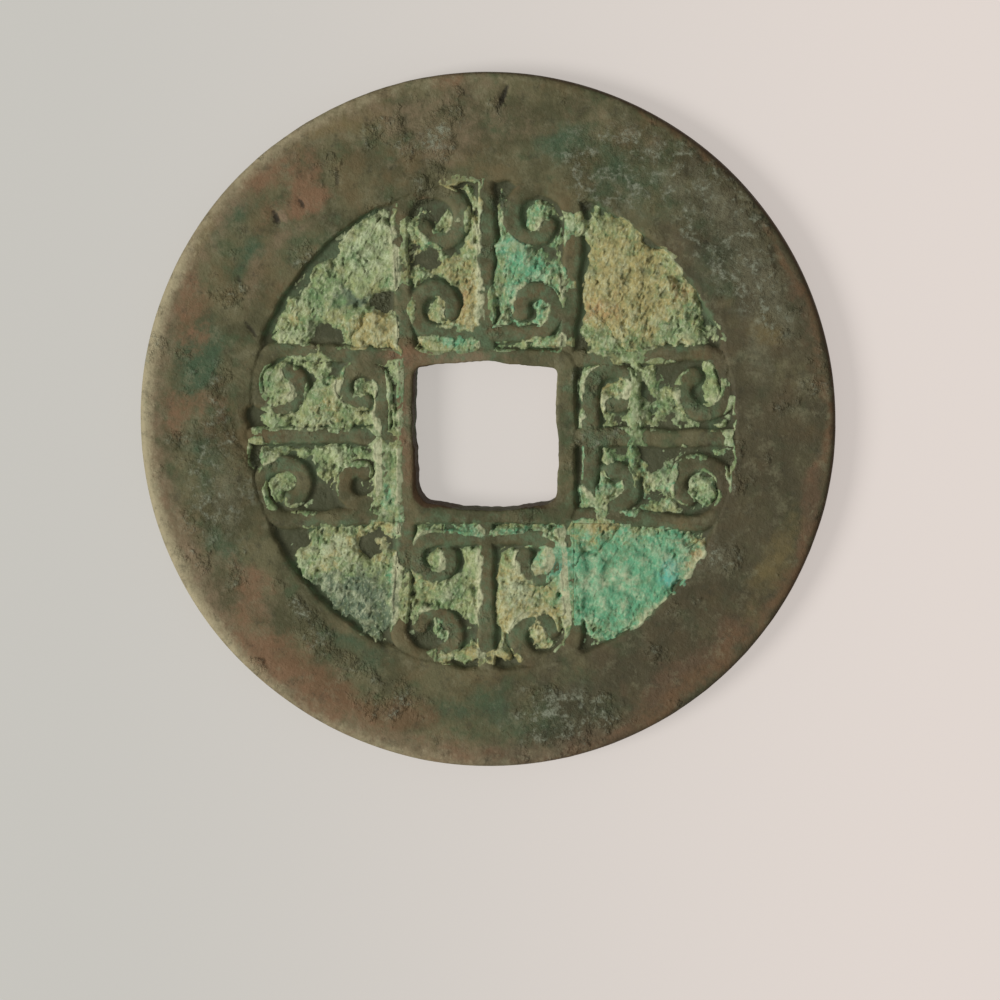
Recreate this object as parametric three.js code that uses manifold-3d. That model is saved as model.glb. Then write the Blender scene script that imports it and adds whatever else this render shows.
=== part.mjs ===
// A round cash coin with a square hole, cast in brass and long buried.
// The metal is one casting: outer rim, inner rim, sunk field and four cloud scrolls around the hole.
// The minerals that grew in the sunk field are pieces of their own, each seated on its floor.
// Millimetres. The coin lies on its back: +Z points out of the face, +Y to the top of the design.
import * as THREE from "three";
import { mergeVertices } from "three/addons/utils/BufferGeometryUtils.js";
import Module from "manifold-3d";

const wasm = await Module();
wasm.setup();

// The blank
const coinDiameter = 27.0;
const coinThickness = 1.2;
const faceShoulder = 0.26;
const backShoulder = 0.16;

// The sunk field of the face, whose circle sits a little off the blank's centre
const rimWidth = 3.95;
const fieldDepth = 0.3;
const fieldShiftX = 0.2;
const fieldShiftY = -0.18;
const wallLean = 0.09;

// The sunk field of the back, which is plain
const backRimWidth = 3.5;
const backFieldDepth = 0.24;
const backWallLean = 0.09;
const backShiftX = -0.15;
const backShiftY = 0.1;

// The square hole, hand-filed and so out of true, and the inner rims around it
const holeWidth = 5.55;
const holeHeight = 5.4;
const holeDrop = 0.58;
const holeBackShiftX = 0.14;
const holeBackShiftY = 0.1;
const holeRoundTop = 0.3;
const holeRoundLow = 0.75;
const holeBowEnds = 0.2;
const holeBowSides = 0.06;
const innerRimWidth = 0.64;
const innerRimRound = 0.5;
const backInnerRimWidth = 0.8;

// The cloud scrolls: a stem, and on each side of it a crook above and a leaf below. The curls
// are drawn to fit between the rims, in shares of their scroll's height.
const strokeWidth = 0.58;
const strokeWear = 0.03;
const stalkInset = 0.3;
const stalkBulge = 0.12;
const crookShare = 0.225;
const crookTurns = 0.92;
const crookSunk = 0.12;
const leafShare = 0.147;
const leafRiseShare = 0.1;
const leafTurns = 0.8;
const leafSunk = 0.18;
const curlEye = 0.1;

// The mineral crusts: their gap to the metal walls, the crack where two meet, and their lumps
const crustGap = 0.05;
const crackWidth = 0.14;
const cornerCrustHeight = 0.22;
const scrollCrustHeight = 0.15;
const lumpHeight = 0.05;
const lumpLength = 2.6;
const lumpStep = 0.8;

// The corners of the field. Two minerals meet there, at a distance from the hole's middle.
const corners = [
  { name: "upper_left", signX: -1, signY: 1, meeting: 6.5, byHole: "tan", byRim: "green" },
  { name: "upper_right", signX: 1, signY: 1, meeting: 6.3, byHole: "green", byRim: "tan" },
  { name: "lower_right", signX: 1, signY: -1, meeting: 6.1, byHole: "tan", byRim: "turquoise" },
  { name: "lower_left", signX: -1, signY: -1, meeting: 6.4, byHole: "tan", byRim: "green" },
];

// The sides of the hole, by the turn of their scroll. Each half of a scroll has a crust.
const sides = [
  { name: "top", turn: 0, crusts: { left: "tan", right: "turquoise" } },
  { name: "left", turn: Math.PI / 2, crusts: { lower: "green", upper: "green" } },
  { name: "bottom", turn: Math.PI, crusts: { right: "tan", left: "green" } },
  { name: "right", turn: -Math.PI / 2, crusts: { upper: "green", lower: "turquoise" } },
];

// How finely round shapes are faceted
const circleSteps = 80;
const shoulderSteps = 4;
const curlSteps = 16;
const cornerSteps = 4;

// How far a cutter runs past a face, and a raised form roots below the floor it stands on
const overshoot = 0.5;
const rooting = 0.1;

// Sizes that follow from those above
const coinRadius = coinDiameter / 2;
const fieldRadius = coinRadius - rimWidth;
const fieldZ = coinThickness - fieldDepth;
const fieldCentre = new THREE.Vector2(fieldShiftX, fieldShiftY);
const holeCentre = new THREE.Vector2(0, -holeDrop);
const innerHalfX = holeWidth / 2 + innerRimWidth;
const innerHalfY = holeHeight / 2 + innerRimWidth;
const curlEnd = strokeWidth / 2 + wallLean + crustGap + curlEye;

const finish = (color, roughness, metalness) =>
  new THREE.MeshStandardMaterial({ color, roughness, metalness });
const castMetal = finish(0x5a5443, 0.6, 0.35);
const minerals = {
  green: finish(0x7e8b64, 0.95, 0),
  turquoise: finish(0x5f9f80, 0.95, 0),
  tan: finish(0x8f8760, 0.95, 0),
};

// Solids

// A closed geometry as a solid, its doubled vertices joined and its empty triangles dropped.
function solidOf(geometry) {
  geometry.deleteAttribute("normal");
  geometry.deleteAttribute("uv");
  const merged = mergeVertices(geometry, 1e-5);
  const index = merged.index.array;
  const kept = [];
  for (let i = 0; i < index.length; i += 3) {
    const [a, b, c] = [index[i], index[i + 1], index[i + 2]];
    if (a !== b && b !== c && c !== a) kept.push(a, b, c);
  }
  const vertProperties = merged.attributes.position.array;
  const triVerts = new Uint32Array(kept);
  return new wasm.Manifold(new wasm.Mesh({ numProp: 3, vertProperties, triVerts }));
}

// A solid as the geometry of a mesh.
function geometryOf(solid) {
  const mesh = solid.getMesh();
  const geometry = new THREE.BufferGeometry();
  geometry.setAttribute("position", new THREE.BufferAttribute(mesh.vertProperties, 3));
  geometry.setIndex(new THREE.BufferAttribute(mesh.triVerts, 1));
  geometry.computeVertexNormals();
  return geometry;
}

// The largest of the separate bodies of a solid.
function largestBody(solid) {
  return solid.decompose().reduce((best, body) => (body.volume() > best.volume() ? body : best));
}

// A prism whose outline changes evenly from one height to another. Both outlines run
// anticlockwise with the same number of points.
function taperedPrism(lower, upper, lowZ, highZ) {
  const count = lower.length;
  const positions = [];
  lower.forEach((p) => positions.push(p.x, p.y, lowZ));
  upper.forEach((p) => positions.push(p.x, p.y, highZ));
  const index = [];
  for (const [a, b, c] of THREE.ShapeUtils.triangulateShape(lower, [])) index.push(c, b, a);
  for (const [a, b, c] of THREE.ShapeUtils.triangulateShape(upper, []))
    index.push(a + count, b + count, c + count);
  for (let i = 0; i < count; i++) {
    const next = (i + 1) % count;
    index.push(i, next, next + count, i, next + count, i + count);
  }
  const geometry = new THREE.BufferGeometry();
  geometry.setAttribute("position", new THREE.Float32BufferAttribute(positions, 3));
  geometry.setIndex(index);
  return solidOf(geometry);
}

// A prism with the mould's leaning walls: outlineAt gives its outline for the lean at a height,
// which is nothing at the face of the coin and the full lean at the floor of the field.
function leaningPrism(outlineAt, lowZ, highZ) {
  const leanAt = (z) => (wallLean * (coinThickness - z)) / fieldDepth;
  return taperedPrism(outlineAt(leanAt(lowZ)), outlineAt(leanAt(highZ)), lowZ, highZ);
}

// Outlines

function circle(centre, radius) {
  return Array.from({ length: circleSteps }, (_, i) => {
    const angle = (2 * Math.PI * i) / circleSteps;
    return new THREE.Vector2(centre.x + radius * Math.cos(angle), centre.y + radius * Math.sin(angle));
  });
}

// A rectangle with rounded corners, from its lower right corner anticlockwise.
function roundedRectangle(centre, halfX, halfY, round) {
  const signs = [
    [1, -1],
    [1, 1],
    [-1, 1],
    [-1, -1],
  ];
  return signs.flatMap(([signX, signY], quarter) =>
    Array.from({ length: cornerSteps + 1 }, (_, i) => {
      const angle = (quarter - 1 + i / cornerSteps) * (Math.PI / 2);
      return new THREE.Vector2(
        centre.x + signX * (halfX - round) + round * Math.cos(angle),
        centre.y + signY * (halfY - round) + round * Math.sin(angle),
      );
    }),
  );
}

// The hole: upper corners nearly sharp, lower ones round, and every side bowed outwards,
// the top fullest left of the middle and the bottom right of it.
function holeOutline(centre) {
  const [x, y] = [holeWidth / 2, holeHeight / 2];
  const [top, low] = [holeRoundTop, holeRoundLow];
  const shape = new THREE.Shape();
  shape.moveTo(x, -y + low);
  shape.quadraticCurveTo(x + holeBowSides, 0, x, y - top);
  shape.quadraticCurveTo(x, y, x - top, y);
  shape.quadraticCurveTo(-x / 6, y + 2 * holeBowEnds, -x + top, y);
  shape.quadraticCurveTo(-x, y, -x, y - top);
  shape.quadraticCurveTo(-x - 2 * holeBowSides, -y / 6, -x, -y + low);
  shape.quadraticCurveTo(-x, -y, -x + low, -y);
  shape.quadraticCurveTo(x / 3, -y - 2 * holeBowEnds, x - low, -y);
  shape.quadraticCurveTo(x, -y, x, -y + low);
  const points = shape.getPoints(cornerSteps).slice(0, -1);
  return points.map((p) => p.add(centre));
}

// A band of even width along a path, with round ends.
function ribbon(path, halfWidth) {
  const last = path.length - 1;
  const normals = path.map((_, i) => {
    const along = path[Math.min(i + 1, last)].clone().sub(path[Math.max(i - 1, 0)]).normalize();
    return new THREE.Vector2(along.y, -along.x);
  });
  const side = (sign) => path.map((p, i) => p.clone().addScaledVector(normals[i], sign * halfWidth));
  const origin = new THREE.Vector2();
  const cap = (p, normal) =>
    Array.from({ length: cornerSteps - 1 }, (_, i) => {
      const turned = normal.clone().rotateAround(origin, ((i + 1) / cornerSteps) * Math.PI);
      return p.clone().addScaledVector(turned, halfWidth);
    });
  const endCap = cap(path[last], normals[last]);
  const startCap = cap(path[0], normals[0].clone().negate());
  return [...side(1), ...endCap, ...side(-1).reverse(), ...startCap];
}

// Cloud scrolls

// The radius of a curl, which tightens at a steady rate from its outside to the end of its eye.
function curlRadius(outerRadius, share) {
  return outerRadius + (curlEnd - outerRadius) * share;
}

function curl(centre, outerRadius, startAngle, turns) {
  return Array.from({ length: curlSteps + 1 }, (_, i) => {
    const share = i / curlSteps;
    const angle = startAngle + share * turns * 2 * Math.PI;
    const radius = curlRadius(outerRadius, share);
    return new THREE.Vector2(centre.x + radius * Math.cos(angle), centre.y + radius * Math.sin(angle));
  });
}

// The centre lines of half a scroll, in its own frame: x across from the stem, y out from the
// inner rim. The crook hangs from the outer rim, whose height rimAt gives, and the leaf leans on
// the stalk.
function halfScroll(halfWidth, height, rimAt) {
  const crookRadius = crookShare * height;
  const crookX = halfWidth - crookRadius;
  const crookTop = rimAt(crookX) + crookSunk - strokeWidth / 2;
  const crookMiddle = new THREE.Vector2(crookX, crookTop - curlRadius(crookRadius, 0.25 / crookTurns));
  const crook = curl(crookMiddle, crookRadius, 0, crookTurns);
  const stalkX = halfWidth - stalkInset;
  const stalk = [
    new THREE.Vector2(stalkX, -rooting),
    new THREE.Vector2(stalkX + stalkBulge, crookMiddle.y / 2),
    crook[0],
  ];
  const leafRadius = leafShare * height;
  const leafX = stalkX - strokeWidth + leafSunk - curlRadius(leafRadius, 0.25 / leafTurns);
  const leafRise = leafRiseShare * height;
  const leaf = curl(new THREE.Vector2(leafX, leafRise + leafRadius), leafRadius, -Math.PI / 2, leafTurns);
  const arm = [new THREE.Vector2(0, leafRise), leaf[0]];
  return [crook, stalk, leaf, arm];
}

// One scroll laid out on the coin, its foot on the inner rim and its crown on the outer rim.
function scrollOn({ turn, ...side }) {
  const across = new THREE.Vector2(Math.cos(turn), Math.sin(turn));
  const outward = new THREE.Vector2(-across.y, across.x);
  const upright = Math.abs(outward.y) > Math.abs(outward.x);
  const halfWidth = upright ? innerHalfX : innerHalfY;
  const foot = holeCentre.clone().addScaledVector(outward, upright ? innerHalfY : innerHalfX);
  const fromField = foot.clone().sub(fieldCentre);
  const rimAt = (x) =>
    Math.sqrt(fieldRadius ** 2 - (fromField.dot(across) + x) ** 2) - fromField.dot(outward);
  const height = rimAt(0);
  const place = (x, y) => foot.clone().addScaledVector(across, x).addScaledVector(outward, y);
  const half = (mirror) =>
    halfScroll(halfWidth, height, (x) => rimAt(mirror * x)).map((path) =>
      path.map((p) => place(mirror * p.x, p.y)),
    );
  const stem = [place(0, -rooting), place(0, height / 2), place(0, height + rooting)];
  return { ...side, place, height, halfWidth, paths: [stem, ...half(-1), ...half(1)] };
}

const scrolls = sides.map(scrollOn);

// All strokes of the scrolls as one solid, grown by a margin all round.
function strokes(margin, topZ) {
  return scrolls
    .flatMap((scroll) => scroll.paths)
    .map((path) =>
      leaningPrism((lean) => ribbon(path, strokeWidth / 2 + margin + lean), fieldZ - rooting, topZ),
    )
    .reduce((joined, stroke) => joined.add(stroke));
}

// The inner rim before the hole is cut, grown by a margin all round.
function innerRim(margin, topZ) {
  const outlineAt = (lean) => {
    const grown = margin + lean;
    return roundedRectangle(holeCentre, innerHalfX + grown, innerHalfY + grown, innerRimRound + grown);
  };
  return leaningPrism(outlineAt, fieldZ - rooting, topZ);
}

// The space over the field, kept a margin away from the outer rim.
function overField(margin, topZ) {
  return leaningPrism((lean) => circle(fieldCentre, fieldRadius - margin - lean), fieldZ, topZ);
}

// The casting

// The plain blank: a disc with filed shoulders.
function blank() {
  const shoulder = (round, middleZ, startAngle) =>
    Array.from({ length: shoulderSteps + 1 }, (_, i) => {
      const angle = startAngle + (i / shoulderSteps) * (Math.PI / 2);
      const radius = coinRadius - round + round * Math.cos(angle);
      return new THREE.Vector2(radius, middleZ + round * Math.sin(angle));
    });
  const profile = [
    new THREE.Vector2(0, 0),
    ...shoulder(backShoulder, backShoulder, -Math.PI / 2),
    ...shoulder(faceShoulder, coinThickness - faceShoulder, 0),
    new THREE.Vector2(0, coinThickness),
  ];
  return solidOf(new THREE.LatheGeometry(profile, circleSteps).rotateX(Math.PI / 2));
}

// What is sunk into the face: the field, less its inner rim and the scrolls.
function faceHollow() {
  const aboveFace = coinThickness + overshoot;
  return overField(0, aboveFace)
    .subtract(innerRim(0, aboveFace))
    .subtract(strokes(0, coinThickness - strokeWear));
}

// What is sunk into the back: a plain field, less its inner rim.
function backHollow() {
  const leanAt = (z) => (backWallLean * z) / backFieldDepth;
  const centre = new THREE.Vector2(backShiftX, backShiftY);
  const radius = coinRadius - backRimWidth;
  const bowl = taperedPrism(
    circle(centre, radius - leanAt(-overshoot)),
    circle(centre, radius - leanAt(backFieldDepth)),
    -overshoot,
    backFieldDepth,
  );
  const hubOutline = (z) => {
    const grown = backInnerRimWidth + leanAt(z);
    const round = innerRimRound + leanAt(z);
    return roundedRectangle(holeCentre, holeWidth / 2 + grown, holeHeight / 2 + grown, round);
  };
  const rootZ = backFieldDepth + rooting;
  return bowl.subtract(taperedPrism(hubOutline(-overshoot), hubOutline(rootZ), -overshoot, rootZ));
}

// The hole, cut right through and slightly askew.
function squareHole() {
  const backCentre = holeCentre.clone().add(new THREE.Vector2(holeBackShiftX, holeBackShiftY));
  return taperedPrism(holeOutline(backCentre), holeOutline(holeCentre), -rooting, coinThickness + rooting);
}

// The crusts

// A slab on the floor of the field with a lumpy top: one wave crossed by another, and a third
// that runs aslant.
function lumpySlab(outline, height) {
  const box = new THREE.Box2().setFromPoints(outline);
  const size = box.getSize(new THREE.Vector2());
  const middle = box.getCenter(new THREE.Vector2());
  const [stepsX, stepsY] = [size.x, size.y].map((length) => Math.ceil(length / lumpStep));
  const slab = new THREE.BoxGeometry(size.x, size.y, height, stepsX, stepsY, 1);
  slab.translate(middle.x, middle.y, fieldZ + height / 2);
  const points = slab.attributes.position;
  const wave = (2 * Math.PI) / lumpLength;
  for (let i = 0; i < points.count; i++) {
    const [x, y] = [points.getX(i), points.getY(i)];
    const crossed = Math.sin(wave * x) * Math.cos(0.8 * wave * y);
    const lump = (lumpHeight * (crossed + Math.sin(1.7 * wave * (x + y)))) / 2;
    const isTop = points.getZ(i) > fieldZ + height / 2;
    points.setZ(i, isTop ? fieldZ + height + lump : fieldZ);
  }
  return solidOf(slab);
}

const metalAround = innerRim(crustGap, coinThickness).add(strokes(crustGap, coinThickness));

// The crust of one pocket: a lumpy slab cut to an outline and kept clear of the metal walls.
function crust(outline, height) {
  const anticlockwise = THREE.ShapeUtils.isClockWise(outline) ? outline.slice().reverse() : outline;
  const pocket = taperedPrism(anticlockwise, anticlockwise, fieldZ - rooting, coinThickness)
    .intersect(overField(crustGap, coinThickness))
    .subtract(metalAround);
  return largestBody(lumpySlab(outline, height).intersect(pocket));
}

// A corner of the field, outside the scrolls, between two distances from the hole's middle.
function cornerOutline({ signX, signY }, near, far) {
  const at = (x, y) => new THREE.Vector2(holeCentre.x + signX * x, holeCentre.y + signY * y);
  const arc = (radius) => {
    const start = Math.asin(innerHalfY / radius);
    const end = Math.acos(innerHalfX / radius);
    return Array.from({ length: curlSteps + 1 }, (_, i) => {
      const angle = start + ((end - start) * i) / curlSteps;
      return at(radius * Math.cos(angle), radius * Math.sin(angle));
    });
  };
  const clearOfInnerRim = near > Math.hypot(innerHalfX, innerHalfY);
  const nearSide = clearOfInnerRim ? arc(near).reverse() : [at(innerHalfX, innerHalfY)];
  return [...arc(far), ...nearSide];
}

// Half a scroll, from its stem to its stalk.
function halfOutline({ place, halfWidth, height }, mirror) {
  const edge = mirror * halfWidth;
  return [place(0, 0), place(edge, 0), place(edge, height), place(0, height)];
}

// The assembly

const cashCoin = new THREE.Group();
cashCoin.name = "cash_coin";

function addPiece(name, solid, material) {
  const mesh = new THREE.Mesh(geometryOf(solid), material.clone());
  mesh.name = name;
  cashCoin.add(mesh);
}

const hollowed = blank().subtract(faceHollow()).subtract(backHollow());
addPiece("cast_coin", hollowed.subtract(squareHole()), castMetal);

for (const corner of corners) {
  const { name, meeting, byHole, byRim } = corner;
  const innerPart = cornerOutline(corner, 0, meeting - crackWidth / 2);
  const outerPart = cornerOutline(corner, meeting + crackWidth / 2, coinRadius);
  addPiece(`${name}_${byHole}_crust_by_hole`, crust(innerPart, cornerCrustHeight), minerals[byHole]);
  addPiece(`${name}_${byRim}_crust_by_rim`, crust(outerPart, cornerCrustHeight), minerals[byRim]);
}

for (const scroll of scrolls) {
  Object.entries(scroll.crusts).forEach(([half, mineral], i) => {
    const solid = crust(halfOutline(scroll, i === 0 ? -1 : 1), scrollCrustHeight);
    addPiece(`${scroll.name}_scroll_${half}_${mineral}_crust`, solid, minerals[mineral]);
  });
}

export default cashCoin;
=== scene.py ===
import bpy
import numpy as np
from mathutils import Matrix, Vector


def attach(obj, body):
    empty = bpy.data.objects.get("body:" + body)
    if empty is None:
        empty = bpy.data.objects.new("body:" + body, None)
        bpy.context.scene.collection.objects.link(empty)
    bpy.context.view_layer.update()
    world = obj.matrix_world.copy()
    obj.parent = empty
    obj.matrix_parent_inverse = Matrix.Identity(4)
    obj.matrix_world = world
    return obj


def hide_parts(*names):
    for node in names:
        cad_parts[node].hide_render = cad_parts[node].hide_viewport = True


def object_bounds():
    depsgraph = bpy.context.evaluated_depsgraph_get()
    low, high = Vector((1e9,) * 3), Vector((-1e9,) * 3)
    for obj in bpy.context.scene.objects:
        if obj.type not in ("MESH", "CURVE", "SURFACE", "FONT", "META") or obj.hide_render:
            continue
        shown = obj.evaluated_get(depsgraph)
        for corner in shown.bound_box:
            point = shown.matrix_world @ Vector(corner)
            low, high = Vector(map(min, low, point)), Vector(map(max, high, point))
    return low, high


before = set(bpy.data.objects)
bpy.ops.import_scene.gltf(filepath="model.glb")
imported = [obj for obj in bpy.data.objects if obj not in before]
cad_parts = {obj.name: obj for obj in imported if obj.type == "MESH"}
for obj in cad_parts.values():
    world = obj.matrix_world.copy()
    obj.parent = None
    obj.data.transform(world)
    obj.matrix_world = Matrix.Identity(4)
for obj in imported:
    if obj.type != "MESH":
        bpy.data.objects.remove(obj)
cad_low, cad_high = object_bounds()

# The casting: broad outer rim, sunk field, four cloud scrolls and an inner rim around the hole.
# One piece of brass poured in a two-part mould, its edge and its square hole filed by hand
# afterwards, and browned by long burial. The formulas are in millimetres.

MM = 0.001
coin_radius = (cad_high.x - cad_low.x) / 2 / MM
coin_thickness = (cad_high.z - cad_low.z) / MM
face_shoulder = 0.26
back_shoulder = 0.16
rim_width = 3.95
inner_rim_width = 0.64
field_radius = coin_radius - rim_width
field_depth = 0.3
field_middle = np.array([0.2, -0.18])
wall_lean = 0.09
wall_round = 0.05
hole_middle = np.array([0.0, -0.58])
hole_half = np.array([2.775, 2.7])
hole_corner = 0.5
inner_half = hole_half + inner_rim_width
inner_round = 0.5
back_field_middle = np.array([-0.15, 0.1])
back_field_radius = coin_radius - 3.5
back_field_depth = 0.24
back_inner_half = hole_half + 0.8
stroke_width = 0.58
stroke_wear = 0.03
stroke_root = 0.1
eye_radius = 0.15
curl_end = stroke_width / 2 + wall_lean + eye_radius
curl_steps = 30


def drift(x, y, size, seed):
    """Smooth random height between -1 and 1: random numbers at the corners of square cells of
    that size, faded from corner to corner by 3t² - 2t³."""
    cells = 199
    table = np.random.default_rng(seed).uniform(-1, 1, (cells, cells))
    i, j = np.floor(x / size).astype(int), np.floor(y / size).astype(int)
    s, t = x / size - i, y / size - j
    s, t = s * s * (3 - 2 * s), t * t * (3 - 2 * t)
    corner = lambda di, dj: table[(i + di) % cells, (j + dj) % cells]
    low = corner(0, 0) * (1 - s) + corner(1, 0) * s
    high = corner(0, 1) * (1 - s) + corner(1, 1) * s
    return low * (1 - t) + high * t


def rough(x, y, size, seed, octaves=3):
    """Drift at one size, plus half as much at half the size, and so on, each turned a little so
    that no direction stands out."""
    total = np.zeros(np.shape(x))
    for octave in range(octaves):
        total += drift(x, y, size / 2**octave, seed + octave) / 2**octave
        x, y = 0.8 * x - 0.6 * y, 0.6 * x + 0.8 * y
    return total


def ease(value):
    """0 below 0, 1 above 1, and 3t² - 2t³ between."""
    t = np.clip(value, 0, 1)
    return t * t * (3 - 2 * t)


def curl_radius(outer, share):
    """The radius of a curl after a share of its turns, shrinking evenly to that of its eye."""
    return outer + (curl_end - outer) * share


def curl(middle, outer, start, turns):
    """A spiral of so many turns about a middle, its radius shrinking evenly from the outer one."""
    share = np.linspace(0, 1, curl_steps + 1)
    angle = start + share * turns * 2 * np.pi
    radius = curl_radius(outer, share)
    return np.column_stack([middle[0] + radius * np.cos(angle), middle[1] + radius * np.sin(angle)])


def half_scroll(half_width, height, rim_at):
    """The centre lines of half a scroll: a crook that hangs from the outer rim, the stalk below
    it, and a leaf with its arm. x runs across from the stem, y out from the inner rim."""
    crook_turns, leaf_turns, quarter_turn = 0.92, 0.8, 0.25
    crook_radius, leaf_radius = 0.225 * height, 0.147 * height
    crook_overlap, leaf_overlap = 0.12, 0.18
    crook_x = half_width - crook_radius
    crook_top = rim_at(crook_x) + crook_overlap - stroke_width / 2
    crook_y = crook_top - curl_radius(crook_radius, quarter_turn / crook_turns)
    crook = curl((crook_x, crook_y), crook_radius, 0, crook_turns)
    stalk_x, stalk_bend = half_width - 0.3, 0.12
    stalk = np.array([(stalk_x, -stroke_root), (stalk_x + stalk_bend, crook_y / 2), crook[0]])
    leaf_x = stalk_x - stroke_width + leaf_overlap - curl_radius(leaf_radius, quarter_turn / leaf_turns)
    leaf_rise = 0.1 * height
    leaf = curl((leaf_x, leaf_rise + leaf_radius), leaf_radius, -np.pi / 2, leaf_turns)
    arm = np.array([(0, leaf_rise), leaf[0]])
    return [crook, stalk, leaf, arm]


def scroll(turn):
    """The centre lines of one whole scroll on the coin, its foot on the inner rim and its crown
    on the outer rim."""
    across = np.array([np.cos(turn), np.sin(turn)])
    outward = np.array([-across[1], across[0]])
    upright = abs(outward[1]) > abs(outward[0])
    half_width, foot_reach = inner_half if upright else inner_half[::-1]
    foot = hole_middle + outward * foot_reach
    shift = (foot - field_middle) @ across
    rise = (foot - field_middle) @ outward
    rim_at = lambda x: np.sqrt(field_radius**2 - (shift + x) ** 2) - rise
    height = rim_at(0)
    place = lambda path: foot + path[:, :1] * across + path[:, 1:] * outward
    paths = [place(np.array([(0, -stroke_root), (0, height + stroke_root)]))]
    for mirror in (-1, 1):
        half = half_scroll(half_width, height, lambda x: rim_at(mirror * x))
        paths += [place(path * (mirror, 1)) for path in half]
    return paths


stroke_paths = [path for turn in np.radians([0, 90, 180, -90]) for path in scroll(turn)]


def path_distance(x, y, path, reach=1.2):
    """The distance to a path of straight steps, and no more than the reach."""
    low, high = path.min(0) - reach, path.max(0) + reach
    near = (x > low[0]) & (x < high[0]) & (y > low[1]) & (y < high[1])
    px, py = x[near], y[near]
    best = np.full(px.shape, reach)
    for start, end in zip(path[:-1], path[1:]):
        step = end - start
        along = ((px - start[0]) * step[0] + (py - start[1]) * step[1]) / (step @ step)
        along = np.clip(along, 0, 1)
        gap = np.hypot(px - start[0] - along * step[0], py - start[1] - along * step[1])
        best = np.minimum(best, gap)
    distance = np.full(x.shape, reach)
    distance[near] = best
    return distance


def rectangle_distance(x, y, half, corner_round):
    """How far a place lies outside a rectangle with round corners about the hole's middle."""
    qx = np.abs(x - hole_middle[0]) - half[0] + corner_round
    qy = np.abs(y - hole_middle[1]) - half[1] + corner_round
    outside = np.hypot(np.maximum(qx, 0), np.maximum(qy, 0))
    return outside + np.minimum(np.maximum(qx, qy), 0) - corner_round


def pocket_edges(x, y):
    """How far a place lies outside the strokes, the inner rim and the outer rim, whose edges
    wander and are nibbled by corrosion. Where a stroke meets a rim the casting fills the corner:
    the lower of two distances a and b, less (k - |a - b|)² / 4k where they differ by less than k."""
    wander = 0.055 * rough(x, y, 1.1, 11, 2) + 0.03 * rough(x, y, 0.3, 14, 2)
    stroke = np.full(x.shape, 9.0)
    for path in stroke_paths:
        stroke = np.minimum(stroke, path_distance(x, y, path))
    inner = rectangle_distance(x, y, inner_half, inner_round)
    outer = field_radius - np.hypot(x - field_middle[0], y - field_middle[1])
    stroke = stroke - stroke_width / 2 + wander
    filled = lambda rim, k: rim - np.maximum(k - np.abs(rim - stroke), 0) ** 2 / (4 * k)
    return stroke, filled(inner + wander / 2, 0.25), filled(outer + wander, 0.5)


def standing(edge):
    """1 on top of raised metal and 0 on the floor beside it, with a leaning wall between them that
    is rounded at its head and foot."""
    return 1 - ease((edge + wall_round) / (wall_lean + 2 * wall_round))


# Blows and casting faults on the rim: x, y of both ends, half width and depth.
nicks = [
    (0.82, 12.92, 0.5, 12.1, 0.085, 0.16),
    (-8.22, 8.1, -8.05, 7.6, 0.09, 0.13),
    (-7.2, 8.55, -7.08, 8.3, 0.07, 0.1),
    (-9.3, 3.75, -8.95, 3.3, 0.06, 0.09),
    (-5.78, 9.85, -5.75, 9.05, 0.06, 0.07),
    (-9.65, 5.6, -9.55, 5.4, 0.07, 0.06),
    (3.5, -10.75, 4.05, -11.35, 0.05, 0.05),
    (8.35, 7.05, 8.6, 6.9, 0.05, 0.05),
    (10.4, -1.2, 10.6, -1.35, 0.07, 0.05),
]

# Painted highlights beside the same blows, on their sides that face the lamp.
nick_highlights = [(-7.95, 8.05, -7.75, 7.75, 0.1, 0.12), (-6.95, 8.55, -6.85, 8.35, 0.05, 0.06)]


def nick_depth(x, y):
    """How deep the nicks go: each a groove with a bell-shaped section, and a low lip thrown up on
    its right."""
    depth = np.zeros(x.shape)
    for x0, y0, x1, y1, half_width, deep in nicks:
        path = np.array([(x0, y0), (x1, y1)])
        depth += deep * np.exp(-((path_distance(x, y, path) / half_width) ** 2))
        lip = path_distance(x - 2 * half_width, y, path)
        depth -= 0.25 * deep * np.exp(-((lip / half_width) ** 2))
    return depth


def filed_side(x, y):
    """1 on the left and below the hole, where the file bevelled its edge, and 0 opposite."""
    return ease(0.75 - (x + 0.6 * (y - hole_middle[1])) / 4)


def face_height(x, y, edges):
    """The height of the face: the floor of the field, and on it the strokes and both rims. The
    strokes are worn unevenly, the hole's left and lower sides are bevelled by the file, and all
    of it is pitted."""
    stroke, inner, outer = edges
    worn = stroke_wear + 0.028 * (1 + rough(x, y, 1.3, 21, 2)) + 0.008 * ease(1 + stroke / 0.12)
    raised = np.maximum(field_depth * standing(inner), field_depth * standing(outer))
    raised = np.maximum(raised, (field_depth - worn) * standing(stroke))
    floor = coin_thickness - field_depth + 0.018 * rough(x, y, 0.9, 31) * (1 - raised / field_depth)
    swell = 0.007 * rough(x, y, 2.2, 41, 2) + 0.005 * rough(x, y, 0.34, 51, 2)
    from_hole = rectangle_distance(x, y, hole_half, hole_corner)
    filed = 0.07 * ease(1.2 - from_hole / 0.1) * filed_side(x, y)
    return floor + raised + swell - filed - nick_depth(x, y)


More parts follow.
